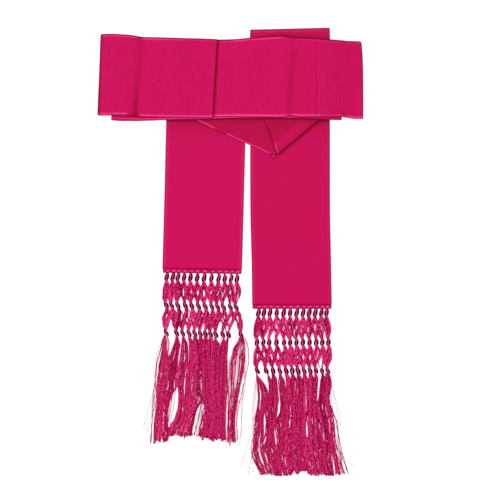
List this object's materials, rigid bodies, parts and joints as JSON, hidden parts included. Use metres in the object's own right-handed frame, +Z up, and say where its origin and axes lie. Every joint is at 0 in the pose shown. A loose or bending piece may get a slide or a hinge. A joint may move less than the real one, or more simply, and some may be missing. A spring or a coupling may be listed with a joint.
{
  "type": "cincture",
  "caption": "Band cincture of ribbed fuchsia cloth: a waist strip folded flat across the falls, which end in netted, knotted fringes.",
  "frame": {"origin": "under the middle of the laid cincture, on the surface it rests on", "axes": "+Y along the falls from the fringes to the folded waist strip, +X across to the right, +Z up from the surface"},
  "size_m": [0.4364, 0.7382, 0.0095],
  "materials": {
    "faille": "fine crosswise ribs with a soft sheen",
    "fringe_thread": "silky twisted thread"
  },
  "bodies": {
    "root": {"front_lap": "faille", "front_stretch": "faille", "back_stretch": "faille", "inner_turns": "faille", "diagonal_over": "faille", "diagonal_under": "faille", "left_tail": "faille", "right_tail": "faille", "left_fringe": "fringe_thread", "right_fringe": "fringe_thread"}
  },
  "joints": []
}
